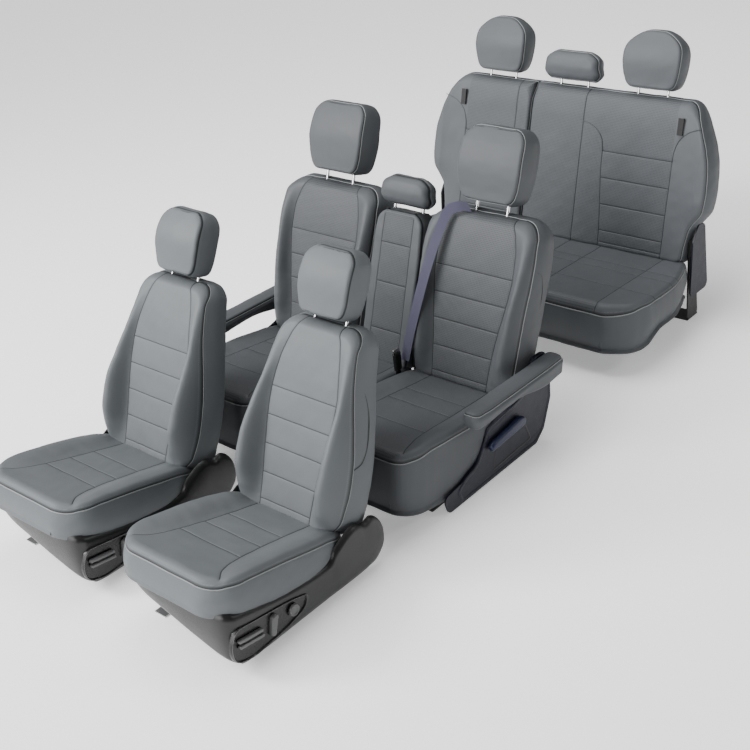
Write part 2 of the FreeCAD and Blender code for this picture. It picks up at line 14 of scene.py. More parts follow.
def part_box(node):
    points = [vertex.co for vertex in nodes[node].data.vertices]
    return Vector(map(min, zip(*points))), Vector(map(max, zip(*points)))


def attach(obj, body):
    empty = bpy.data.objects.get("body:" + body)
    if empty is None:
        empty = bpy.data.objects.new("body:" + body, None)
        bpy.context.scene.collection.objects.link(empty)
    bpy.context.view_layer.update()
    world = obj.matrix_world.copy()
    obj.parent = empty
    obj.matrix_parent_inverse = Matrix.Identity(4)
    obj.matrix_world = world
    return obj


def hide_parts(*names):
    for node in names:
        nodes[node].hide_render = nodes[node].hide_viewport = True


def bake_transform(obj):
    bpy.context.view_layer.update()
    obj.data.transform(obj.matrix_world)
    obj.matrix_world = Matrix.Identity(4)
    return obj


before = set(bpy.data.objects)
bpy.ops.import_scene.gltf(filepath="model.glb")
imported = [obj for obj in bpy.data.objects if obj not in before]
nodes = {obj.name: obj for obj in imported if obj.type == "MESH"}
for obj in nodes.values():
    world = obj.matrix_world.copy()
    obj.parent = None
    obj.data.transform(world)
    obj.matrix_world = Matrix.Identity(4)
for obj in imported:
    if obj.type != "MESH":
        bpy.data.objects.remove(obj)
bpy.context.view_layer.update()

# ---------------------------------------------------------------- sizes shared with the CAD
# Each row: y and height of the line where cushion and back meet, and in degrees the back's lean
# and the cushion's rise to the front.
FRONT = dict(y=-890.0, bight=200.0, tilt=25.0, slope=15.0)
MID = dict(y=0.0, bight=238.0, tilt=20.0, slope=7.0)
REAR = dict(y=1180.0, bight=280.0, tilt=15.3, slope=3.0)
FRONT_X = 352.0                     # a front seat's distance from the centre plane
MID_X, MID_PITCH = 12.0, 368.0      # centre of row 2, and from there to its outer seats
MID_NEAR = MID_X + MID_PITCH        # centre of row 2's left seat
REAR_SPLIT, REAR_GAP = -185.0, 5.0  # where the bench's backs part, and half the gap between
REAR_TOP = 645.0                    # top of the bench's backs
POST_GAP = 68.0                     # half the distance between a headrest's posts
# From a seat's centre: the back faces of its plates, and the middles of its side parts.
BASE_FACE, SWITCH_FACE = 257.0, 259.0
MID_PANEL_FACE, LEVER_FACE = 244.0, 254.0
BUCKLE_OUT, ARM_OUT = 238.0, 288.0
ARM_UP = 318.0                      # height that an armrest is drawn from
BELT_WIDE, BELT_THICK = 40.0, 1.3

# (name, x, seed) and (name, x, outer side, seed)
FRONT_SEATS = (("front_left", FRONT_X, 11), ("front_right", -FRONT_X, 12))
MID_SEATS = (("mid_left", MID_NEAR, 1, 41), ("mid_right", MID_X - MID_PITCH, -1, 42))

# Headrests: foot is the height of its foot up the back, and ahead how far its face stands out.
FRONT_HEAD = dict(half_width=110, depth=124, height=222, foot=655, ahead=12)
MID_HEAD = dict(half_width=136, depth=138, height=264, foot=668, ahead=8, piped=True)
MID_ROLL = dict(half_width=112, depth=92, height=104, foot=598, ahead=8, tall=False)
REAR_HEAD = dict(half_width=132, depth=112, height=228, foot=674, ahead=6, round_top=92,
                 piped=True)
REAR_ROLL = dict(half_width=130, depth=96, height=116, foot=672, ahead=6, tall=False, piped=True)

# Arched seams on the bench's outer seats, as (x, height up the back).
ARCS = [[(89, 512), (128, 504), (164, 482), (188, 448), (196, 402)],
        [(524, 402), (528, 446), (545, 490), (586, 526), (640, 546)]]

# ---------------------------------------------------------------- grid and seams of a pad
STEP = 7.0                  # widest gap between a pad's grid lines
SEAM_NEAR = (1.2, 2.6, 4.6, 8.0, 13.0)      # distances of the grid lines beside a seam
BLOCK = 2000                # points measured against the border at a time
BAND = 9.0                  # height of the bands round a pad's side
EDGE_ROOM = 17.0            # a seam that comes this close to a pad's border is not drawn
FAR = 99.0                  # a distance at which a seam has no effect
HIDE = 60.0                 # added to the distance where a seam is not drawn
SEAM_ROOM, SEAM_BEND = 16.0, 9.0            # least room outside a side seam, and its soft bend
SINK = 1.2                  # how far the filling sinks beside an inner seam
SEAM_SHADE_REACH = 2.6             # how far the painted shade along a seam's crease reaches
STITCH_OUT, STITCH_HALF = 3.4, 0.55         # a stitch row's distance from its seam, half width
STITCH_PITCH, STITCH_SHARE = 5.5, 0.62      # its pitch, and how much of that is thread
DOT_PITCH = 0.0090          # pitch of the dots on woven panels, in metres


# ---------------------------------------------------------------- materials
def material(name, color, rough, metal=0.0, **extra):
    """A Principled material with plain values on its sockets. Gives (material, shader)."""
    mat = bpy.data.materials.new(name)
    mat.use_nodes = True
    shader = mat.node_tree.nodes["Principled BSDF"]
    shader.inputs["Base Color"].default_value = (*color, 1)
    shader.inputs["Roughness"].default_value = rough
    shader.inputs["Metallic"].default_value = metal
    for key, value in extra.items():
        shader.inputs[key.replace("_", " ")].default_value = value
    return mat, shader


def math_node(tree, kind, a, b=None, c=None):
    """A math node whose inputs are sockets or numbers. Gives its output."""
    node = tree.nodes.new("ShaderNodeMath")
    node.operation = kind
    for i, value in enumerate((a, b, c)):
        if value is None:
            continue
        if isinstance(value, (int, float)):
            node.inputs[i].default_value = value
        else:
            tree.links.new(value, node.inputs[i])
    return node.outputs[0]


def attribute(tree, name):
    """The value of a mesh attribute in a material."""
    node = tree.nodes.new("ShaderNodeAttribute")
    node.attribute_name = name
    return node.outputs["Fac"]


def mixed(tree, factor, a, b):
    """A blend of two colours, each a socket or a colour, by a socket."""
    node = tree.nodes.new("ShaderNodeMix")
    node.data_type = "RGBA"
    tree.links.new(factor, node.inputs["Factor"])
    for socket, value in ((node.inputs[6], a), (node.inputs[7], b)):
        if isinstance(value, tuple):
            socket.default_value = (*value, 1)
        else:
            tree.links.new(value, socket)
    return node.outputs[2]


def noise(tree, scale, detail=2.0):
    """Noise in object space, in cycles per metre. Gives its value."""
    node = tree.nodes.new("ShaderNodeTexNoise")
    node.inputs["Scale"].default_value = scale
    node.inputs["Detail"].default_value = detail
    coords = tree.nodes.new("ShaderNodeTexCoord").outputs["Object"]
    tree.links.new(coords, node.inputs["Vector"])
    return node.outputs["Fac"]


def bumped(tree, shader, height, strength, distance):
    """Adds a bump to a shader, on top of one already there."""
    node = tree.nodes.new("ShaderNodeBump")
    node.inputs["Strength"].default_value = strength
    node.inputs["Distance"].default_value = distance
    tree.links.new(height, node.inputs["Height"])
    target = shader.inputs["Normal"]
    if target.links:
        tree.links.new(target.links[0].from_socket, node.inputs["Normal"])
    tree.links.new(node.outputs["Normal"], target)


def shaded(color, share):
    """A colour made darker or lighter by a share."""
    return tuple(min(1, c * share) for c in color)


def dotted(tree):
    """Diagonal rows of dots on the centre panels, as 0 or 1."""
    turn = tree.nodes.new("ShaderNodeMapping")
    turn.inputs["Rotation"].default_value = (0, 0, math.radians(45))
    tree.links.new(tree.nodes.new("ShaderNodeUVMap").outputs["UV"], turn.inputs["Vector"])
    split = tree.nodes.new("ShaderNodeSeparateXYZ")
    tree.links.new(turn.outputs["Vector"], split.inputs["Vector"])
    ripples = []
    for way in "XY":
        phase = math_node(tree, "MULTIPLY", split.outputs[way], 2 * math.pi / DOT_PITCH)
        ripples.append(math_node(tree, "SINE", phase))
    dots = math_node(tree, "GREATER_THAN", math_node(tree, "MULTIPLY", *ripples), 0.45)
    return math_node(tree, "MULTIPLY", dots, attribute(tree, "panel"))


def leatherette(name, color, woven=False):
    """Cover material: fine grain, a line of painted shade along each seam's crease with a row of
    stitches on each side, and an embossed diagonal pattern on the centre panels of woven ones."""
    mat, shader = material(name, color, 0.52, Specular_IOR_Level=0.26)
    tree = mat.node_tree
    seam, along = attribute(tree, "seam"), attribute(tree, "along")
    # Painted shade: line is 1 on a seam and falls to 0 a short way off it.
    line = math_node(tree, "SUBTRACT", 1.0, math_node(tree, "MULTIPLY", seam, 1 / SEAM_SHADE_REACH))
    line = math_node(tree, "MAXIMUM", line, 0.0)
    from_row = math_node(tree, "ABSOLUTE", math_node(tree, "SUBTRACT", seam, STITCH_OUT))
    row = math_node(tree, "LESS_THAN", from_row, STITCH_HALF)
    part = math_node(tree, "FRACT", math_node(tree, "MULTIPLY", along, 1 / STITCH_PITCH))
    stitch = math_node(tree, "MULTIPLY", row, math_node(tree, "LESS_THAN", part, STITCH_SHARE))
    tone = mixed(tree, noise(tree, 9.0, 3.0), shaded(color, 0.93), shaded(color, 1.07))
    if woven:
        dots = dotted(tree)
        tone = mixed(tree, math_node(tree, "MULTIPLY", dots, 0.8), tone, shaded(color, 0.36))
        bumped(tree, shader, math_node(tree, "MULTIPLY", dots, -1.0), 0.6, 0.0006)
    tone = mixed(tree, math_node(tree, "MULTIPLY", stitch, 0.3), tone, shaded(color, 1.8))
    # Painted shade: the colour darkens to a tenth along each seam's crease.
    tone = mixed(tree, line, tone, shaded(color, 0.10))
    tree.links.new(tone, shader.inputs["Base Color"])
    grain = tree.nodes.new("ShaderNodeTexVoronoi")
    grain.feature = "DISTANCE_TO_EDGE"
    grain.inputs["Scale"].default_value = 620
    tree.links.new(tree.nodes.new("ShaderNodeTexCoord").outputs["Object"], grain.inputs["Vector"])
    bumped(tree, shader, grain.outputs["Distance"], 0.16, 0.0006)
    bumped(tree, shader, noise(tree, 60.0), 0.10, 0.002)
    bumped(tree, shader, stitch, 0.5, 0.0006)
    return mat


def textured_plastic(name, color, rough):
    """Moulded plastic with a fine spark texture."""
    mat, shader = material(name, color, rough, Specular_IOR_Level=0.4)
    tree = mat.node_tree
    bumped(tree, shader, noise(tree, 320.0), 0.45, 0.0012)
    spread = math_node(tree, "MULTIPLY_ADD", noise(tree, 40.0), 0.16, rough - 0.08)
    tree.links.new(spread, shader.inputs["Roughness"])
    return mat


def metal(name, color, rough):
    """Bare or plated metal with faint drawn marks."""
    mat, shader = material(name, color, rough, 1.0)
    tree = mat.node_tree
    spread = math_node(tree, "MULTIPLY_ADD", noise(tree, 120.0), 0.06, rough)
    tree.links.new(spread, shader.inputs["Roughness"])
    return mat


def webbing(name, color):
    """Woven strap: fine ribs across its length."""
    mat, shader = material(name, color, 0.75, Sheen_Weight=0.15)
    tree = mat.node_tree
    wave = tree.nodes.new("ShaderNodeTexWave")
    wave.inputs["Scale"].default_value = 160
    tree.links.new(tree.nodes.new("ShaderNodeUVMap").outputs["UV"], wave.inputs["Vector"])
    bumped(tree, shader, wave.outputs["Fac"], 0.5, 0.0006)
    return mat


FRONT_LEATHER = leatherette("front_leatherette", (0.100, 0.109, 0.116))
MID_LEATHER = leatherette("mid_leatherette", (0.066, 0.071, 0.077), woven=True)
REAR_LEATHER = leatherette("rear_leatherette", (0.072, 0.078, 0.085), woven=True)
# Painted highlight: the piping is the seats' leather, and its lighter grey stands in for the highlight
# along each bead.
PIPING_PAINTED_HIGHLIGHT = material("piping", (0.20, 0.21, 0.215), 0.5)[0]
DARK_PIPING = material("dark_piping", (0.022, 0.024, 0.026), 0.5)[0]
BLACK = textured_plastic("black_base_plastic", (0.010, 0.010, 0.0105), 0.32)
PANEL_BLACK = textured_plastic("panel_plastic", (0.006, 0.006, 0.0065), 0.26)
SWITCH = textured_plastic("switch_plastic", (0.09, 0.09, 0.092), 0.24)
NAVY = textured_plastic("navy_plastic", (0.003, 0.0036, 0.013), 0.46)
NAVY_LIGHT = textured_plastic("navy_lever_plastic", (0.010, 0.015, 0.045), 0.34)
CHROME = metal("post_chrome", (0.82, 0.82, 0.83), 0.09)
ZINC = metal("rail_zinc", (0.42, 0.42, 0.43), 0.38)
PAINT = textured_plastic("frame_paint", (0.007, 0.007, 0.0075), 0.42)
BELT = webbing("belt_webbing", (0.052, 0.050, 0.088))
STRAP = webbing("strap_webbing", (0.006, 0.006, 0.007))
BUCKLE = textured_plastic("buckle_plastic", (0.008, 0.008, 0.009), 0.26)
STEEL = metal("bright_steel", (0.62, 0.60, 0.56), 0.22)


# ---------------------------------------------------------------- shape helpers
def curve(*points):
    """A smooth function through (b, value) points, level outside them."""
    xs = np.array([p[0] for p in points], float)
    ys = np.array([p[1] for p in points], float)
    slopes = np.diff(ys) / np.diff(xs)
    ends = np.zeros(len(xs))
    for i in range(1, len(xs) - 1):
        before, after = slopes[i - 1], slopes[i]
        if before * after > 0:
            ends[i] = 2 * before * after / (before + after)

    def value(b):
        b = np.clip(np.asarray(b, float), xs[0], xs[-1])
        i = np.clip(np.searchsorted(xs, b, side="right") - 1, 0, len(xs) - 2)
        wide = xs[i + 1] - xs[i]
        t = (b - xs[i]) / wide
        return ((2 * t**3 - 3 * t**2 + 1) * ys[i] + (t**3 - 2 * t**2 + t) * wide * ends[i]
                + (3 * t**2 - 2 * t**3) * ys[i + 1] + (t**3 - t**2) * wide * ends[i + 1])
    return value


def step_up(x, lo, hi):
    """0 below lo, 1 above hi, smooth between."""
    t = np.clip((np.asarray(x, float) - lo) / (hi - lo), 0, 1)
    return t * t * (3 - 2 * t)


def cornered(half, b0, b1, r0, r1):
    """A half width with rounded corners of radius r0 at b0 and r1 at b1."""
    def value(b):
        b = np.asarray(b, float)
        w = half(b)
        for edge, r in ((b - b0, r0), (b1 - b, r1)):
            inside = np.clip(r - edge, 0, r)
            w = w - r + np.sqrt(np.maximum(r * r - inside * inside, 0))
        return w
    return value


def graded(length, near_start, near_end):
    """Positions from 0 to length, fine by the given distances at each end, STEP at most."""
    pts = {0.0, length}
    pts |= {n for n in near_start if n < 0.48 * length}
    pts |= {length - n for n in near_end if n < 0.48 * length}
    pts = sorted(pts)
    out = [pts[0]]
    for p in pts[1:]:
        gap = p - out[-1]
        parts = max(1, math.ceil(gap / STEP))
        out += [out[-1] + gap * (k + 1) / parts for k in range(parts)]
    return np.array(out)


def rounding(r):
    """Distances from an edge that follow a quarter circle of radius r."""
    return [r * (1 - math.cos(math.pi / 2 * k / 8)) for k in range(1, 9)]


def to_loop(points, loop):
    """Distance from each 2-D point to a closed polyline."""
    ahead = np.roll(loop, -1, 0) - loop
    size = np.maximum((ahead**2).sum(1), 1e-9)
    away = points[:, None, :] - loop[None]
    share = np.clip((away * ahead[None]).sum(-1) / size[None], 0, 1)
    away -= share[..., None] * ahead[None]
    return np.sqrt((away**2).sum(-1).min(1))


def waves(p, scale, seed):
    """Smooth noise of about -1 to 1 at points p, repeating over about scale millimetres."""
    rng = np.random.RandomState(seed)
    total = np.zeros(len(p))
    for _ in range(7):
        way = rng.normal(size=3)
        way *= 2 * math.pi / (scale * np.linalg.norm(way) * rng.uniform(0.7, 1.4))
        total += np.sin(p @ way + rng.uniform(0, 2 * math.pi))
    return total / 3.2


def unit(vectors):
    """Vectors scaled to length 1."""
    return vectors / np.maximum(np.linalg.norm(vectors, axis=-1, keepdims=True), 1e-9)


def run_along(points):
    """Distance along a path of each of its points."""
    return np.concatenate([[0], np.cumsum(np.linalg.norm(np.diff(points, axis=0), axis=1))])


def normals(verts, faces):
    """Smooth outward normals at each vertex."""
    quads = verts[faces]
    face = np.cross(quads[:, 2] - quads[:, 0], quads[:, 3] - quads[:, 1])
    out = np.zeros_like(verts)
    for k in range(4):
        np.add.at(out, faces[:, k], face)
    return unit(out)


def placed(verts, place):
    """Local millimetres to the row frame's metres. place is (x, y, z, lean in degrees)."""
    x, y, z, lean = place
    c, s = math.cos(math.radians(lean)), math.sin(math.radians(lean))
    out = np.empty_like(verts)
    out[:, 0] = verts[:, 0] + x
    out[:, 1] = verts[:, 1] * c + verts[:, 2] * s + y
    out[:, 2] = -verts[:, 1] * s + verts[:, 2] * c + z
    return out * 0.001


def mesh_object(name, verts, faces, mat, body, values=None, uv=None):
    """An object from metre vertices and faces, riding on a body if one is given."""
    mesh = bpy.data.meshes.new(name)
    mesh.from_pydata([tuple(v) for v in verts], [], [tuple(int(i) for i in f) for f in faces])
    for key, data in (values or {}).items():
        mesh.attributes.new(key, "FLOAT", "POINT").data.foreach_set("value",
                                                                   data.astype(np.float32))
    if uv is not None:
        layer = mesh.uv_layers.new(name="UVMap")
        index = np.empty(len(mesh.loops), np.int32)
        mesh.loops.foreach_get("vertex_index", index)
        layer.data.foreach_set("uv", (uv[index] * 0.001).astype(np.float32).ravel())
    mesh.shade_smooth()
    mesh.materials.append(mat)
    mesh.update()
    obj = bpy.data.objects.new(name, mesh)
    bpy.context.scene.collection.objects.link(obj)
    if body:
        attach(obj, body)
    return obj


def smooth(points, steps=8):
    """A smooth open path through a few points (Catmull-Rom)."""
    p = np.array(points, float)
    p = np.vstack([2 * p[0] - p[1], p, 2 * p[-1] - p[-2]])
    out = []
    for i in range(1, len(p) - 2):
        for k in range(steps):
            t = k / steps
            out.append(0.5 * (2 * p[i] + (p[i + 1] - p[i - 1]) * t
                              + (2 * p[i - 1] - 5 * p[i] + 4 * p[i + 1] - p[i + 2]) * t * t
                              + (3 * p[i] - p[i - 1] - 3 * p[i + 1] + p[i + 2]) * t**3))
    out.append(p[-2])
    return np.array(out)


def rounded_loop(points, radius, steps=6):
    """A closed outline with its corners rounded, as an array of 2-D points."""
    p = np.array(points, float)
    out = []
    for i in range(len(p)):
        before, here, after = p[i - 1], p[i], p[(i + 1) % len(p)]
        u, v = before - here, after - here
        lu, lv = np.linalg.norm(u), np.linalg.norm(v)
        cut = min(radius, 0.45 * lu, 0.45 * lv)
        start, end = here + u / lu * cut, here + v / lv * cut
        for k in range(steps + 1):
            t = k / steps
            out.append((1 - t) ** 2 * start + 2 * t * (1 - t) * here + t * t * end)
    return np.array(out)


def circle(count):
    """Points of a circle of radius 1."""
    turns = [2 * math.pi * k / count for k in range(count)]
    return np.array([(math.cos(t), math.sin(t)) for t in turns])


def outward(loop):
    """Unit vectors square to a closed outline, outward where it runs anticlockwise."""
    way = np.roll(loop, -1, 0) - np.roll(loop, 1, 0)
    return unit(np.stack([way[:, 1], -way[:, 0]], -1))


def turning(loop):
    """1 for a closed outline that runs anticlockwise, and -1 for the other way round."""
    area = np.sum(loop[:, 0] * np.roll(loop[:, 1], -1) - np.roll(loop[:, 0], -1) * loop[:, 1])
    return 1 if area > 0 else -1


def inset(loop, amount):
    """A closed 2-D outline moved inward by a small amount."""
    return loop - outward(loop) * amount * turning(loop)


def plate(name, loop, layers, mat, body, x, s=1, stands_for=None):
    """A moulded plate drawn in the y-z plane. layers are (inset, height) rings from its back
    face outward, and the last one is closed by a flat face. It stands out from x to the side s,
    in place of the CAD node it stands for."""
    n = len(loop)
    verts = np.concatenate([np.column_stack([np.full(n, x + s * height), inset(loop, amount)])
                            for amount, height in layers]) * 0.001
    faces = [list(range(n))[::-1], list(range((len(layers) - 1) * n, len(layers) * n))]
    for k in range(len(layers) - 1):
        for i in range(n):
            j = (i + 1) % n
            faces.append([k * n + i, k * n + j, (k + 1) * n + j, (k + 1) * n + i])
    if turning(loop) != s:
        faces = [f[::-1] for f in faces]
    obj = mesh_object(name, verts, faces, mat, body)
    obj.data.set_sharp_from_angle(angle=math.radians(40))
    if stands_for:
        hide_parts(stands_for)


def swept(n, m, closed=False):
    """Quads of a tube of m lines of n points. A closed one joins its two ends."""
    faces = []
    for k in range(m):
        low, high = k * n, (k + 1) % m * n
        for i in range(n if closed else n - 1):
            j = (i + 1) % n
            faces.append((low + i, low + j, high + j, high + i))
    return faces


def tube(name, points, radius, mat, body, closed=False, sides=8):
    """A round bead of that radius in millimetres along metre points."""
    if closed:
        ahead = np.roll(points, -1, 0) - np.roll(points, 1, 0)
    else:
        ahead = np.gradient(points, axis=0)
    ahead = unit(ahead)
    side = unit(np.cross(ahead, np.array([0.13, 0.31, 0.94])))
    up = np.cross(side, ahead)
    verts = np.concatenate([points + 0.001 * radius * (c * side + s * up)
                            for c, s in circle(sides)])
    return mesh_object(name, verts, swept(len(points), sides, closed), mat, body)


def piping(name, points, radius, body, closed=False, mat=PIPING_PAINTED_HIGHLIGHT):
    """A cover's piping or raised seam along metre points."""
    tube(name, points, radius, mat, body, closed)


# ---------------------------------------------------------------- pads
def on_back(a, b, h):
    """Face axes of a back or headrest: b runs up it, and h stands out to the front."""
    return np.stack([a, -h, b], -1)


def on_cushion(a, b, h):
    """Face axes of a cushion: b runs forward from the bight, and h stands up."""
    return np.stack([a, -b, h], -1)


def grid_rows(span, cross, widest, corner):
    """Positions of the grid lines along a pad, close together at its ends and cross seams."""
    ends = sorted(rounding(widest) + rounding(corner))
    stops = [span[0], *sorted(cross), span[1]]
    rows = [0.0]
    for i in range(len(stops) - 1):
        near = (ends if i == 0 else SEAM_NEAR, ends if i == len(stops) - 2 else SEAM_NEAR)
        rows += list(rows[-1] + graded(stops[i + 1] - stops[i], *near)[1:])
    return np.array(rows) + span[0]


def grid_columns(rows, tracks, mid, widest):
    """Positions across a pad at each row, close together at its sides and its seams."""
    edge = rounding(widest)
    columns = [np.array(tracks[0](rows))[:, None]]
    for i in range(len(tracks) - 1):
        wide = float(tracks[i + 1](mid) - tracks[i](mid))
        near = (edge if i == 0 else SEAM_NEAR, edge if i == len(tracks) - 2 else SEAM_NEAR)
        share = graded(wide, *near)[1:] / wide
        lo, hi = np.array(tracks[i](rows)), np.array(tracks[i + 1](rows))
        columns.append(lo[:, None] + (hi - lo)[:, None] * share[None, :])
    return np.concatenate(columns, 1)


def border_ring(nr, nc):
    """Numbers of the points round a grid's border, in order."""
    ring = ([(0, j) for j in range(nc)] + [(i, nc - 1) for i in range(1, nr)]
            + [(nr - 1, j) for j in range(nc - 2, -1, -1)] + [(i, 0) for i in range(nr - 2, 0, -1)])
    return np.array([i * nc + j for i, j in ring])


def rolled_off(radius, far):
    """How far an edge of that radius has dropped at a distance from the border."""
    over = np.clip(radius - far, 0, radius)
    return radius - np.sqrt(radius * radius - over * over)


def inner_seams(a, b, tracks, line_ends, cross, cross_between):
    """Each point's distance from the nearest seam inside a pad, and its place along that."""
    left, *lines, right = tracks
    seam = np.full(len(a), FAR)
    along = b.copy()
    for line, stop in zip(lines, line_ends):
        slope = (line(b + 1.0) - line(b - 1.0)) / 2
        gap = np.abs(a - line(b)) / np.sqrt(1 + slope**2)
        edge = np.minimum(line(b) - left(b), right(b) - line(b))
        seam = np.minimum(seam, gap + HIDE * (1 - step_up(edge, EDGE_ROOM, EDGE_ROOM + 8))
                          + HIDE * step_up(b, stop, stop + 6))
    if cross_between:
        lo, hi = (tracks[k](b) for k in cross_between)
        crossing = (a > lo - 0.5) & (a < hi + 0.5)
        for c in cross:
            gap = np.where(crossing, np.abs(b - c), FAR)
            along = np.where(gap < seam, a, along)
            seam = np.minimum(seam, gap)
    return seam, along


def pad_faces(nr, nc, ring, depth):
    """Quads of a pad: its face, its back, and the bands between their borders."""
    count, size = nr * nc, len(ring)
    i, j = np.meshgrid(np.arange(nr - 1), np.arange(nc - 1), indexing="ij")
    q = (i * nc + j).ravel()
    faces = [np.stack([q, q + 1, q + nc + 1, q + nc], -1),
             np.stack([q, q + nc, q + nc + 1, q + 1], -1) + count]
    levels = [ring, *(2 * count + k * size + np.arange(size) for k in range(depth - 1)),
              ring + count]
    for up, low in zip(levels, levels[1:]):
        faces.append(np.stack([up, low, np.roll(low, -1), np.roll(up, -1)], -1))
    return np.concatenate(faces)


def relief(verts, seam, inner, along, groove, seed):
    """How far a pad's surface stands out: waves and puckers, less the grooves at its seams."""
    dip = groove * np.exp(-((seam / 2.4) ** 2)) + SINK * np.exp(-inner / 13.0)
    pucker = np.sin(along / 3.7 + 2.2 * waves(verts, 90, seed + 5))
    pucker *= 0.22 * np.exp(-seam / 10.0) * (1 - np.exp(-((seam / 2.0) ** 2)))
    return pucker + 0.9 * waves(verts, 130, seed) + 0.35 * waves(verts, 45, seed + 1) - dip


def pad(name, left, right, span, *, mat, body, seed, roll, deep, back_roll, bulge, corner,
        tuck=0.0, groove=1.3, top=None, axes=on_back, place=(0, 0, 0, 0), lines=(), line_ends=(),
        cross=(), cross_between=None, panel=None):
    """A closed padded piece. Gives it, and its border as metre points.

    left and right bound it across, and span along it. lines are seams that run along it, up to
    line_ends if they are given. left, lines and right are its tracks. cross are seams across it
    between the two tracks numbered cross_between. The woven field lies between the two numbered
    panel, or else between those. The face rolls over by roll at its border, to a side that bulges
    and ends deep down, tucked in, where back_roll rounds its back.
    """
    b0, b1 = span
    tracks = [left, *lines, right]
    roll_of = roll if callable(roll) else (lambda a, b: np.full(np.shape(a), float(roll)))
    widest = float(np.max(roll_of(np.zeros(9), np.linspace(b0, b1, 9))))
    rows = grid_rows(span, cross, widest, corner)
    grid = grid_columns(rows, tracks, 0.5 * (b0 + b1), widest)
    nr, nc = grid.shape
    count = nr * nc
    ring = border_ring(nr, nc)
    flat = np.stack([grid.ravel(), np.repeat(rows, nc)], -1)
    border = flat[ring]
    far = np.concatenate([to_loop(flat[k:k + BLOCK], border) for k in range(0, count, BLOCK)])

    a, b = flat[:, 0], flat[:, 1]
    height = (top(a, b) if top else np.zeros(count)) - rolled_off(roll_of(a, b), far)
    floor = deep(a, b) if callable(deep) else deep
    under = -floor + rolled_off(back_roll, far)
    inner, along = inner_seams(a, b, tracks, line_ends or [b1 + FAR] * len(lines), cross,
                               cross_between)
    along = np.where(far < inner, a + b, along)
    woven = np.zeros(count)
    if panel or cross_between:
        lo, hi = (tracks[k](b) for k in panel or cross_between)
        woven = ((a > lo + 3) & (a < hi - 3)).astype(float)

    depth = max(4, int(np.max(floor) / BAND))
    out, run = outward(border), run_along(border)
    start_h, end_h = height[ring], under[ring]
    bands, band_seam, band_uv = [], [], []
    for k in range(1, depth):
        t = k / depth
        grow = bulge * math.sin(math.pi * t) - tuck * t * t
        h = start_h + (end_h - start_h) * t
        bands.append(axes(border[:, 0] + out[:, 0] * grow, border[:, 1] + out[:, 1] * grow, h))
        band_seam.append(np.abs(h - start_h))
        band_uv.append(np.stack([run, h], -1))

    verts = np.concatenate([axes(a, b, height), axes(a, b, under)] + bands)
    faces = pad_faces(nr, nc, ring, depth)
    way = normals(verts, faces)
    if np.sum((verts - verts.mean(0)) * way) < 0:
        faces = faces[:, ::-1]
        way = -way
    rest = len(verts) - count
    seam = np.concatenate([np.minimum(inner, far), np.full(count, FAR)] + band_seam)
    inner = np.concatenate([inner, np.full(rest, FAR)])
    along = np.concatenate([along, b] + [run] * (depth - 1))
    woven = np.concatenate([woven, np.zeros(rest)])
    uv = np.concatenate([flat, flat] + band_uv)
    verts = verts + way * relief(verts, seam, inner, along, groove, seed)[:, None]
    obj = mesh_object(name, placed(verts, place), faces, mat, body,
                      {"seam": seam, "along": along, "panel": woven}, uv)
    return obj, placed(verts[ring], place)


def even_pad(name, half, panel, span, **rest):
    """A pad with even sides and a centre panel between two even seams."""
    return pad(name, mirror(half), half, span, lines=(mirror(panel), panel), cross_between=(1, 2),
               **rest)


def back_place(x, seat):
    """Where the back and the headrest of a seat stand."""
    return x, seat["y"], seat["bight"], seat["tilt"]


def cushion_place(x, seat):
    """Where the cushion of a seat lies."""
    return x, seat["y"], seat["bight"], seat["slope"]


def soft(obj, cover, *cores):
    """Hides the CAD cover that a padded piece stands for, with its own core and any others given."""
    core = cover.replace("_cover", "_core")
    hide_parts(*[name for name in (cover, core) if name in nodes], *cores)


def mirror(f):
    """The same function on the other side of the centre."""
    return lambda b: -f(b)


def raised_sides(seam_at, half, amount, crest, drop):
    """Height of the bolsters outside the centre panel. It falls by drop past its crest."""
    def height(a, b):
        inner, outer = seam_at(b), half(b)
        s = np.clip((np.abs(a) - inner) / np.maximum(outer - inner, 1), 0, 1)
        rise = np.sin(np.pi / 2 * np.clip(s / crest, 0, 1)) ** 1.6
        fall = 1 - drop * np.clip((s - crest) / (1 - crest), 0, 1) ** 2
        return amount(b) * rise * fall
    return height


def inside(line, half):
    """A seam line kept SEAM_ROOM inside a half width."""
    return lambda b: -SEAM_BEND * np.log(np.exp(-line(b) / SEAM_BEND)
                                         + np.exp((SEAM_ROOM - half(b)) / SEAM_BEND))


def rolled(side, end, start, stop):
    """Edge radius: side along the flanks, growing to end between two heights."""
    return lambda a, b: side + (end - side) * step_up(b, start, stop)


def front_back(name, x, seed):
    """A front seat's back cover. Its foot widens to reach over the recline plates."""
    b0, b1 = -16.0, 640.0
    base = curve((-16, 220), (40, 228), (90, 232), (150, 234), (220, 231), (330, 214), (430, 193),
                 (520, 178), (590, 167), (640, 157))
    half = cornered(base, b0, b1, 56, 52)
    panel = inside(curve((0, 112), (110, 118), (205, 128), (300, 138), (395, 142), (500, 128),
                         (580, 106), (640, 82)), half)
    rise = curve((-6, 8), (60, 42), (140, 64), (220, 62), (330, 40), (430, 19), (520, 7),
                 (600, 0))
    sides = raised_sides(panel, base, rise, crest=0.54, drop=1.3)

    def top(a, b):
        lean = -24 * np.clip((b - 430) / 210, 0, 1) ** 2
        return sides(a, b) + lean + 5 * np.sin(np.pi * np.clip(b / 420, 0, 1))

    obj, loop = even_pad(name + "_back", half, panel, (b0, b1), cross=(20, 110, 205, 300, 395),
                         top=top, roll=rolled(17, 44, 560, 640), deep=136, back_roll=16, bulge=7,
                         corner=52, place=back_place(x, FRONT), mat=FRONT_LEATHER,
                         body=name + "_back", seed=seed)
    soft(obj, name + "_back_cover")
    flank = loop[:, 0] > 0.001 * x
    order = np.argsort(loop[flank][:, 2])
    piping(name + "_back_piping", loop[flank][order][3:-14], 1.4, name + "_back")


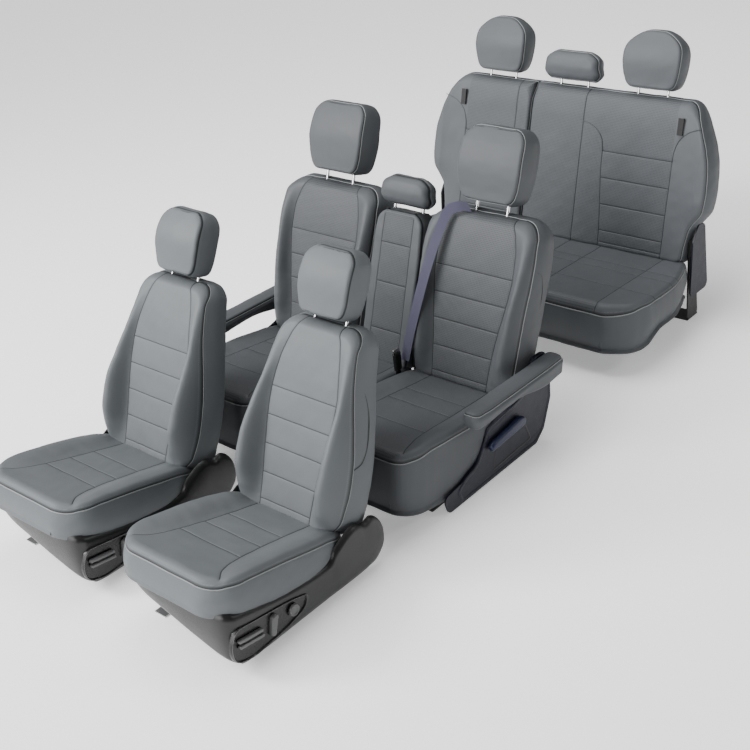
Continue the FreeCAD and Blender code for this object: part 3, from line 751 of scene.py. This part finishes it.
def front_cushion(name, x, seed):
    """A front seat's cushion cover with its skirt."""
    b0, b1 = -62.0, 504.0
    base = curve((-62, 208), (0, 232), (150, 250), (360, 252), (440, 246), (504, 236))
    half = cornered(base, b0, b1, 26, 96)
    panel = inside(curve((-28, 118), (100, 121), (250, 130), (350, 142), (415, 164), (455, 198),
                         (480, 230)), half)
    rise = curve((-40, 2), (60, 20), (200, 24), (370, 18), (450, 8), (500, 0))
    sides = raised_sides(panel, base, rise, crest=0.7, drop=0.25)
    obj, loop = even_pad(name + "_cushion", half, panel, (b0, b1), cross=(130, 225, 320), top=sides,
                         roll=rolled(20, 30, 380, 500), deep=124, back_roll=6, bulge=7, tuck=4,
                         corner=96, axes=on_cushion, place=cushion_place(x, FRONT),
                         mat=FRONT_LEATHER, body=name + "_seat", seed=seed)
    soft(obj, name + "_cushion_cover")
    piping(name + "_cushion_piping", loop[front_part(loop)], 2.0, name + "_seat")


def front_part(loop):
    """Which points of a border loop lie along its front and sides, in order."""
    y = loop[:, 1]
    keep = np.where(y < y.max() - 0.03)[0]
    gap = np.argmax(np.diff(np.concatenate([keep, [keep[0] + len(loop)]])))
    return np.roll(keep, -(gap + 1))


def headrest(name, x, seat, mat, seed, half_width, depth, height, foot, ahead, round_top=44,
             tall=True, piped=False):
    """A headrest cover: a front panel, a side panel behind a seam, and a rolled foot."""
    b0, b1 = foot, foot + height
    low = 0.84 if tall else 0.94
    base = curve((b0, half_width * low), (b0 + 0.25 * height, half_width * (low + 0.11)),
                 (b0 + 0.5 * height, half_width), (b0 + 0.75 * height, half_width * 0.98),
                 (b1, half_width * 0.88))
    half = cornered(base, b0, b1, 0.12 * height, min(round_top, 0.42 * height))
    tip = 30 if tall else 8

    def top(a, b):
        t = np.clip((b - b0) / height, 0, 1)
        lean = 14 * (1 - step_up(t, 0, 0.5)) + tip * np.clip((t - 0.5) / 0.5, 0, 1) ** 2
        return ahead - lean - 7 * (a / half_width) ** 2

    obj, loop = pad(name + "_headrest", mirror(half), half, (b0, b1), top=top,
                    roll=12 if tall else 26, deep=depth - ahead,
                    back_roll=(0.2 if tall else 0.36) * depth, bulge=4, corner=round_top,
                    place=back_place(x, seat), mat=mat, body=name + "_headrest", seed=seed, groove=1.6)
    soft(obj, name + "_headrest_cover")
    if piped:
        piping(name + "_headrest_piping", loop, 1.9, name + "_headrest", closed=True)


def mid_back(name, x, seed):
    """An outer second row back cover with piping at its side seams, made lighter by a painted
    highlight.
    """
    b0, b1 = -4.0, 630.0
    base = curve((-4, 212), (60, 220), (160, 227), (300, 232), (400, 238), (480, 241), (560, 236),
                 (630, 221))
    half = cornered(base, b0, b1, 30, 66)
    panel = inside(curve((0, 124), (125, 132), (225, 146), (320, 160), (420, 171), (500, 168),
                         (570, 152), (630, 128)), half)
    rise = curve((0, 4), (60, 22), (120, 34), (300, 36), (440, 26), (560, 12), (630, 0))
    sides = raised_sides(panel, base, rise, crest=0.58, drop=1.15)

    def top(a, b):
        lean = -20 * np.clip((b - 440) / 190, 0, 1) ** 2
        return sides(a, b) + lean + 5 * np.sin(np.pi * np.clip(b / 430, 0, 1))

    obj, loop = even_pad(name + "_back", half, panel, (b0, b1), cross=(30, 125, 225, 320, 420),
                         top=top, roll=rolled(18, 44, 550, 630), deep=142, back_roll=16, bulge=8,
                         corner=66, place=back_place(x, MID), mat=MID_LEATHER, body=name + "_back",
                         seed=seed)
    soft(obj, name + "_back_cover")
    start = int(np.argmin(loop[:, 2]))
    turned = np.roll(loop, -start, 0)
    turned = turned[turned[:, 2] > loop[:, 2].min() + 0.05]
    piping(name + "_back_piping", turned, 2.2, name + "_back")


def mid_cushion(name, x, seed):
    """An outer second row cushion cover with a deep skirt, cut away towards the rear."""
    b0, b1 = -56.0, 565.0
    base = curve((-56, 222), (200, 241), (430, 243), (565, 232))
    half = cornered(base, b0, b1, 26, 84)
    panel = inside(curve((-28, 132), (170, 140), (400, 152), (500, 176), (565, 206)), half)
    rise = curve((-40, 2), (60, 14), (430, 16), (520, 6), (565, 0))
    sides = raised_sides(panel, base, rise, crest=0.7, drop=0.25)
    obj, loop = even_pad(name + "_cushion", half, panel, (b0, b1), cross=(130, 225, 370), top=sides,
                         roll=rolled(20, 34, 440, 565), bulge=7, deep=lambda a,
                         b: 172 + 58 * step_up(b, 150, 330), back_roll=6, tuck=10, corner=84,
                         axes=on_cushion, place=cushion_place(x, MID), mat=MID_LEATHER,
                         body="floor_frame", seed=seed)
    soft(obj, name + "_cushion_cover")
    piping(name + "_cushion_piping", loop[front_part(loop)], 2.0, "floor_frame")


def centre_seat():
    """The narrow centre seat of the second row."""
    base = curve((8, 112), (100, 116), (400, 117), (520, 111), (575, 104))
    half = cornered(base, -10, 575, 16, 46)
    panel = curve((8, 74), (575, 70))
    obj, _ = even_pad("mid_centre_back", half, panel, (-10, 575), cross=(120, 300, 450), roll=14,
                      deep=108, back_roll=22, bulge=3, corner=46, place=back_place(MID_X, MID),
                      mat=MID_LEATHER, body="mid_centre_back", seed=45)
    soft(obj, "mid_centre_back_cover")
    base = curve((-54, 112), (200, 117), (420, 117), (500, 110))
    half = cornered(base, -54, 500, 12, 40)
    panel = curve((-54, 72), (500, 70))
    obj, _ = even_pad("mid_centre_cushion", half, panel, (-54, 500), cross=(150, 320), roll=24,
                      deep=118, back_roll=6, bulge=3, corner=40, axes=on_cushion,
                      place=cushion_place(MID_X, MID), mat=MID_LEATHER, body="floor_frame", seed=46)
    soft(obj, "mid_centre_cushion_cover", "mid_cushion_cores")


def rear_bench():
    """The bench: two back covers and one cushion cover."""
    outer = curve((-4, 616), (128, 630), (228, 686), (300, 692), (390, 686), (470, 666),
                  (560, 630), (645, 592))
    side = cornered(outer, -4, REAR_TOP, 24, 44)

    def at(value):
        """A track that keeps one x."""
        return lambda b: np.full(np.shape(b), float(value)) if np.ndim(b) else float(value)

    place = back_place(0, REAR)

    def top(a, b):
        outside = np.clip((np.abs(a) - 520) / 130, 0, 1)
        return 16 * outside**2 * step_up(b, 120, 260) - 14 * np.clip((b - 520) / 125, 0, 1) ** 2

    inner = REAR_SPLIT - REAR_GAP
    obj, loop = pad("rear_single_back", mirror(side), at(inner), (-4, REAR_TOP),
                    lines=(at(-526), at(-258)), cross=(20, 70, 180, 290, 400), cross_between=(1, 2),
                    line_ends=(404, 700), top=top, roll=rolled(15, 40, 560, 645), deep=120,
                    back_roll=24, bulge=5, corner=44, place=place, mat=REAR_LEATHER,
                    body="rear_single_back", seed=51, panel=(1, 3))
    soft(obj, "rear_single_back_cover")
    piping("rear_single_piping", loop, 2.0, "rear_single_back", closed=True)
    inner = REAR_SPLIT + REAR_GAP
    obj, loop = pad("rear_double_back", at(inner), side, (-4, REAR_TOP),
                    lines=(at(88), curve((0, 224), (402, 196)), at(524)),
                    cross=(20, 70, 180, 290, 400), cross_between=(2, 3), line_ends=(700, 404, 404),
                    top=top, roll=rolled(15, 40, 560, 645), deep=120, back_roll=24, bulge=5,
                    corner=44, place=place, mat=REAR_LEATHER, body="rear_double_back", seed=52,
                    panel=(0, 3))
    soft(obj, "rear_double_back_cover")
    piping("rear_double_piping", loop, 2.0, "rear_double_back", closed=True)
    for body, s, path in (("rear_double_back", 1, ARCS), ("rear_single_back", -1, ARCS[1:])):
        for k, points in enumerate(path):
            pts = smooth(points)
            local = np.stack([s * pts[:, 0], -top(pts[:, 0], pts[:, 1]) - 0.4, pts[:, 1]], -1)
            piping(f"{body}_arc_{k}", placed(local, place), 1.5, body, mat=DARK_PIPING)
    base = curve((-44, 636), (60, 668), (180, 696), (360, 700), (440, 680), (520, 624))
    half = cornered(base, -44, 520, 26, 64)
    obj, loop = pad("rear_cushion", mirror(half), half, (-44, 520),
                    lines=(at(-540), at(-250), at(88), at(240), at(540)), cross=(130, 190, 330),
                    cross_between=(0, 6), roll=rolled(22, 44, 400, 520), deep=lambda a,
                    b: 160 + 46 * step_up(b, 260, 420), back_roll=6, bulge=6, tuck=14, corner=64,
                    axes=on_cushion, panel=(1, 5), place=cushion_place(0, REAR), mat=REAR_LEATHER,
                    body="floor_frame", seed=53)
    soft(obj, "rear_cushion_cover")
    piping("rear_cushion_piping", loop[front_part(loop)], 2.2, "floor_frame")


def armrest(name, x, s, seed):
    """An outer armrest cover: a low padded top with a piped edge."""
    centre = x + s * ARM_OUT
    base = curve((-296, 33), (-200, 38), (100, 37), (214, 34))
    half = cornered(base, -296, 214, 24, 18)

    def top(a, b):
        return 44 - 14 * np.clip((b + 292) / 504, 0, 1) - 5 * (a / 36) ** 2

    def axes(a, b, h):
        low = (h < 0) * (30 * step_up(b, -80, 120) + 8 * step_up(-b, 120, 290))
        return np.stack([a + centre, b, h + ARM_UP - low], -1)

    obj, loop = pad(name + "_armrest", mirror(half), half, (-296, 214), top=top, roll=9, deep=12,
                    back_roll=9, bulge=5, corner=24, axes=axes, mat=MID_LEATHER,
                    body=name + "_armrest", seed=seed)
    soft(obj, name + "_armrest_cover")
    piping(name + "_armrest_piping", loop, 1.6, name + "_armrest", closed=True)


# ---------------------------------------------------------------- moulded trim
# A front seat's base skirt, from the rear of its left side round the front to the middle of
# its right side. The rest mirrors the first SKIRT_REAR points:
# (x, y from the bight, top, bottom).
SKIRT_REAR = 8
SKIRT = [(250, 190, 100, 84), (258, 182, 158, 56), (261, 142, 194, 26), (262, 104, 190, 20),
         (262, 70, 206, 18), (262, 30, 202, 18), (261, -30, 172, 18), (259, -80, 140, 18),
         (257, -250, 156, 18), (257, -430, 202, 22), (246, -476, 214, 34), (206, -498, 220, 52),
         (100, -504, 224, 86), (-20, -504, 224, 122), (-120, -502, 222, 150),
         (-190, -488, 218, 172), (-226, -452, 208, 156), (-244, -400, 192, 112),
         (-254, -300, 168, 40)]
# Its section: (how far in from the outside, share of the height below the top).
SKIRT_SECTION = [(18, 0.0, 5), (11, 0.0, 2), (6, 0.0, -3), (2, 0.0, -10), (0, 0.0, -18),
                 (0, 0.45, -4), (1, 1.0, 22), (5, 1.0, 9), (11, 1.0, 2), (17, 1.0, 0),
                 (22, 1.0, 4), (22, 0.5, 0), (22, 0.0, -4)]
SWITCH_PANEL = [(-496, 60), (-504, 118), (-474, 174), (-250, 134), (-172, 110), (-196, 66),
                (-290, 44), (-430, 36)]


def base_skirt(name, x):
    """A front seat's moulded base with its switch panel."""
    far_side = [(-across, *rest) for across, *rest in SKIRT[SKIRT_REAR - 1::-1]]
    path = smooth(SKIRT + far_side, 6)
    ahead = unit(np.gradient(path[:, :2], axis=0))
    inward = np.stack([-ahead[:, 1], ahead[:, 0]], -1)
    if np.sum(inward * path[:, :2]) > 0:
        inward = -inward
    rings = []
    for depth, share, lift in SKIRT_SECTION:
        high = path[:, 2] + (path[:, 3] - path[:, 2]) * share
        rings.append(np.column_stack([path[:, :2] + inward * depth, high + lift]))
    n, m = len(path), len(SKIRT_SECTION)
    verts = np.concatenate(rings) + np.array([x, FRONT["y"], 0.0])
    faces = [[k * n for k in range(m)], [k * n + n - 1 for k in range(m)][::-1]]
    faces += swept(n, m)
    obj = mesh_object(name + "_base", verts * 0.001, faces, BLACK, name + "_seat")
    obj.data.set_sharp_from_angle(angle=math.radians(50))
    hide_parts(name + "_base_trim")
    loop = rounded_loop(SWITCH_PANEL, 34) + np.array([FRONT["y"], 0])
    plate(name + "_panel", loop, [(0, -8), (0, 3), (1, 5), (4, 5.4), (6, 3.4), (7.5, 1.0)],
          PANEL_BLACK, name + "_seat", x + BASE_FACE)
    bezel = np.column_stack([np.full(len(loop), x + BASE_FACE + 5.4), inset(loop, 2.5)]) * 0.001
    tube(name + "_bezel", bezel, 1.3, SWITCH, name + "_seat", True)


def switches(name, x):
    """The three power seat switches: a double rocker, a leaning lever and a round pad."""
    bar = np.array([(-50, 1), (48, -16), (48, -3), (-50, 14)], float)
    turn = np.array([(-424, 114), (-330, 96), (-246, 94)], float) + np.array([FRONT["y"], 0])
    face, slide = x + SWITCH_FACE, name + "_slide_switch"
    for k, lift in enumerate((-10, 10)):
        loop = rounded_loop(bar + turn[0] + np.array([0, lift - 1]), 6)
        plate(f"{name}_slide_bar_{k}", loop, [(0, 1), (0, 9), (1.5, 11.5), (3.5, 12)], SWITCH,
              slide, face, stands_for=None if k else slide)
    web = rounded_loop(np.array([(-30, 1), (30, -9), (30, -1), (-30, 9)]) + turn[0], 5)
    plate(name + "_slide_web", web, [(0, -2), (0, 7), (1, 8)], PANEL_BLACK, slide,
          face)
    lever = np.array([(-22, -30), (-4, -36), (20, 26), (12, 36), (-8, 32)], float) + turn[1]
    plate(name + "_recline_pad", rounded_loop(lever, 8), [(0, -2), (0, 9), (2, 12), (5, 13)],
          SWITCH, name + "_recline_switch", face,
          stands_for=name + "_recline_switch")
    plate(name + "_lumbar_pad", circle(32) * 21 + turn[2],
          [(0, 2), (0, 7), (2, 9.5), (5, 10), (8, 7.6), (12, 6.8), (15, 7.6)], SWITCH,
          name + "_lumbar_switch", face + 1,
          stands_for=name + "_lumbar_switch")


MID_TRIM = [(-330, 3), (-352, 60), (-300, 90), (-236, 104), (-196, 150), (-160, 214), (20, 234),
            (96, 262), (128, 352), (198, 352), (229, 296), (222, 150), (170, 40), (120, 3)]


def mid_side_panel(name, x, s):
    """A second row seat's outer side panel with a sunk field and a lower pocket."""
    loop = rounded_loop(MID_TRIM, 26)
    plate(name + "_side_panel", loop,
          [(4, -8), (0, -6), (0, 5), (3, 8), (10, 8.6), (16, 6), (19, 3.6)], NAVY, "floor_frame",
          x + s * MID_PANEL_FACE, s)
    pocket = rounded_loop([(-150, 30), (-126, 112), (60, 122), (92, 40)], 16)
    plate(name + "_pocket", pocket, [(0, 2), (0, 5.5), (3, 7), (8, 7), (11, 3), (14, 2)], PAINT,
          "floor_frame", x + s * MID_PANEL_FACE, s)


LEVER = [(-164, 128), (-170, 150), (-150, 160), (12, 180), (40, 166), (34, 138), (10, 136)]


def recline_lever():
    """The near seat's recline lever: a hooked paddle."""
    plate("mid_left_lever_paddle", rounded_loop(LEVER, 14),
          [(2, 1), (0, 4), (0, 15), (4, 20), (9, 22)], NAVY_LIGHT, "mid_left_lever",
          MID_NEAR + LEVER_FACE, stands_for="mid_left_recline_lever")


def ribbon(name, points, across, width, thick, mat, body, rise):
    """A flat strap: metre points, the direction across it, its width and thickness in mm."""
    pts = np.asarray(points, float)
    across = np.asarray(across, float)
    across = across / np.linalg.norm(across, axis=-1, keepdims=True)
    ahead = np.gradient(pts, axis=0)
    up = np.cross(across, ahead)
    up = unit(up)
    if np.sum(up * rise) < 0:
        up = -up
    w, t = width * 0.0005, thick * 0.001
    corners = [pts - across * w, pts + across * w, pts + across * w + up * t,
               pts - across * w + up * t]
    n = len(pts)
    verts = np.concatenate(corners)
    run = run_along(pts) * 1000
    uv = np.concatenate([np.column_stack([run, np.full(n, v)]) for v in (0, width, width, 0)])
    faces = [[0, n, 2 * n, 3 * n], [4 * n - 1, 3 * n - 1, 2 * n - 1, n - 1]]
    faces += swept(n, 4)
    obj = mesh_object(name, verts, faces, mat, body, uv=uv)
    obj.data.set_sharp_from_angle(angle=math.radians(40))
    return obj


def seat_belt():
    """Belt webbing from the near seat's inner shoulder down to the buckle."""
    path = smooth([(-70, -22, 640), (-104, -2, 636), (-140, 12, 606), (-162, 30, 500),
                   (-180, 42, 380), (-198, 45, 250), (-214, 44, 130), (-228, 34, 40)], 8)
    local = np.column_stack([path[:, 0], -path[:, 1], path[:, 2]])
    pts = placed(local, back_place(MID_NEAR, MID))
    side = np.column_stack([np.linspace(0.35, 1, len(pts)), np.zeros(len(pts)),
                            np.linspace(-0.75, 0.05, len(pts))])
    obj = ribbon("belt", pts, side, BELT_WIDE, BELT_THICK, BELT, None, np.array([0, -1.0, 0.3]))
    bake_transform(obj)
    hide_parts("mid_left_belt_webbing")


def buckle_tongue():
    """The bright tongue that joins the belt to its buckle."""
    x = MID_NEAR - BUCKLE_OUT
    low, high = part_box("mid_belt_buckle")
    top = high[2] * 1000
    loop = rounded_loop([(-68, top - 6), (-68, top + 18), (-32, top + 18), (-32, top - 6)], 5)
    plate("belt_tongue", loop, [(0, -1.5), (0, 1), (0.6, 1.6)], STEEL, "floor_frame", x)


def trims():
    """Every moulded trim and switch."""
    for name, x, _ in FRONT_SEATS:
        base_skirt(name, x)
        switches(name, x)
    for name, x, s, _ in MID_SEATS:
        mid_side_panel(name, x, s)
    recline_lever()
    seat_belt()
    buckle_tongue()


def post_slots(name, x):
    """The dark bezels that a row 2 headrest's posts pass through, on top of its back."""
    for side in (-1, 1):
        ring = circle(24) * (17, 12)
        local = np.column_stack([ring[:, 0] + side * POST_GAP, ring[:, 1] + 68, np.full(24, 617)])
        bezel = tube(f"{name}_slot_{side}", placed(local, back_place(x, MID)), 3.2, PAINT,
                     name + "_back", closed=True)


def airbag_seam(name, x, seat, half, points):
    """A curved seam on a back's left side panel, as (height up the back, distance behind)."""
    path = smooth(points)
    swell = 7.5 * np.sin(np.pi * np.clip((path[:, 1] - 26) / 96, 0, 1))
    local = np.column_stack([half(path[:, 0]) + swell, path[:, 1], path[:, 0]])
    piping(name + "_airbag_seam", placed(local, back_place(x, seat)), 1.5, name + "_back",
           mat=DARK_PIPING)


def covers():
    """Every fitted cover."""
    for name, x, seed in FRONT_SEATS:
        front_back(name, x, seed)
        front_cushion(name, x, seed + 10)
        headrest(name, x, FRONT, FRONT_LEATHER, seed + 20, **FRONT_HEAD)
    for name, x, s, seed in MID_SEATS:
        mid_back(name, x, seed)
        mid_cushion(name, x, seed + 2)
        armrest(name, x, s, seed + 4)
        headrest(name, x, MID, MID_LEATHER, seed + 20, **MID_HEAD)
        post_slots(name, x)
    airbag_seam("front_left", FRONT_X, FRONT,
                curve((150, 234), (220, 231), (330, 214), (430, 193), (520, 178)),
                [(466, 34), (448, 62), (380, 84), (300, 82), (240, 62), (214, 32)])
    airbag_seam("mid_left", MID_NEAR, MID,
                curve((160, 227), (300, 232), (400, 238), (480, 241), (560, 236)),
                [(462, 36), (446, 66), (376, 90), (290, 88), (226, 64), (200, 30)])
    centre_seat()
    headrest("mid_centre", MID_X, MID, MID_LEATHER, 63, **MID_ROLL)
    rear_bench()
    headrest("rear_right", -384, REAR, REAR_LEATHER, 71, **REAR_HEAD)
    headrest("rear_centre", -10, REAR, REAR_LEATHER, 74, **REAR_ROLL)
    headrest("rear_left", 368, REAR, REAR_LEATHER, 74, **REAR_HEAD)


# ---------------------------------------------------------------- CAD nodes that stay
# The material of each node by the end of its name. The rest are dark.
LOOKS = (("_posts", CHROME), ("front_floor_rails", ZINC), ("_seat_frame", PAINT),
         ("seat_frames", PAINT), ("_base_trim", BLACK), ("_switch", SWITCH), ("side_trims", NAVY),
         ("_lever", NAVY_LIGHT), ("_belt_webbing", BELT), ("_pull_strap", STRAP),
         ("mid_belt_buckle", BUCKLE))


def paint_nodes():
    """Materials for the CAD nodes that are shown as they are."""
    for name, obj in nodes.items():
        mat = next((look for ending, look in LOOKS if name.endswith(ending)), DARK_PIPING)
        obj.data.materials.clear()
        obj.data.materials.append(mat)
        obj.data.shade_smooth()
        obj.data.set_sharp_from_angle(angle=math.radians(35))


# ---------------------------------------------------------------- stage
def light(name, where, target, size, power):
    """A square area light aimed at a point."""
    data = bpy.data.lights.new(name, "AREA")
    data.size = size
    data.energy = power
    obj = bpy.data.objects.new(name, data)
    obj.location = where
    obj.rotation_euler = (Vector(target) - Vector(where)).to_track_quat("-Z", "Y").to_euler()
    bpy.context.scene.collection.objects.link(obj)


def stage():
    """A pale floor, a pale world and soft lights."""
    mesh = bpy.data.meshes.new("floor")
    mesh.from_pydata([(-30, -30, 0), (30, -30, 0), (30, 30, 0), (-30, 30, 0)], [], [(0, 1, 2, 3)])
    floor = bpy.data.objects.new("floor", mesh)
    mesh.materials.append(material("floor_white", (0.94, 0.94, 0.94), 0.9,
                                    Emission_Color=(1, 1, 1, 1), Emission_Strength=0.34)[0])
    bpy.context.scene.collection.objects.link(floor)
    world = bpy.data.worlds.new("studio")
    world.use_nodes = True
    world.node_tree.nodes["Background"].inputs["Color"].default_value = (1, 1, 1, 1)
    world.node_tree.nodes["Background"].inputs["Strength"].default_value = 0.17
    bpy.context.scene.world = world
    for name, energy, way in (("sky", 1.6, (0.45, 0.45, -1)), ("front_sky", 2.7, (0.3, 1, -0.4))):
        sun = bpy.data.lights.new(name, "SUN")
        sun.energy = energy
        sun.angle = math.radians(50)
        sky = bpy.data.objects.new(name, sun)
        sky.rotation_euler = Vector(way).to_track_quat("-Z", "Y").to_euler()
        bpy.context.scene.collection.objects.link(sky)
    light("key", (-3.4, -3.6, 3.4), (0, 0, 0.5), 1.8, 290)
    light("rim", (3.4, 1.4, 2.6), (0.5, -0.9, 0.2), 0.7, 22)
    light("front", (1.0, -5.2, 2.4), (0, -0.4, 0.4), 2.0, 60)
    light("top", (-0.6, 0.8, 4.5), (0, 0.3, 0.4), 3.0, 120)


def camera():
    """A long lens from the front left of the set, above it and slightly rolled."""
    azimuth, elevation, roll = (math.radians(d) for d in (44.64, 29.1, -7.49))
    back = Vector((math.sin(azimuth) * math.cos(elevation),
                   -math.cos(azimuth) * math.cos(elevation), math.sin(elevation)))
    right = Vector((math.cos(azimuth), math.sin(azimuth), 0))
    up = back.cross(right)
    x_axis = right * math.cos(roll) + up * math.sin(roll)
    y_axis = up * math.cos(roll) - right * math.sin(roll)
    data = bpy.data.cameras.new("camera")
    data.sensor_width = 36
    data.lens = 61.6
    data.clip_end = 100
    obj = bpy.data.objects.new("camera", data)
    obj.matrix_world = Matrix((
        (x_axis.x, y_axis.x, back.x, 3.0156), (x_axis.y, y_axis.y, back.y, -3.0867),
        (x_axis.z, y_axis.z, back.z, 2.5766), (0, 0, 0, 1)))
    bpy.context.scene.collection.objects.link(obj)
    bpy.context.scene.camera = obj


paint_nodes()
covers()
trims()
stage()
camera()
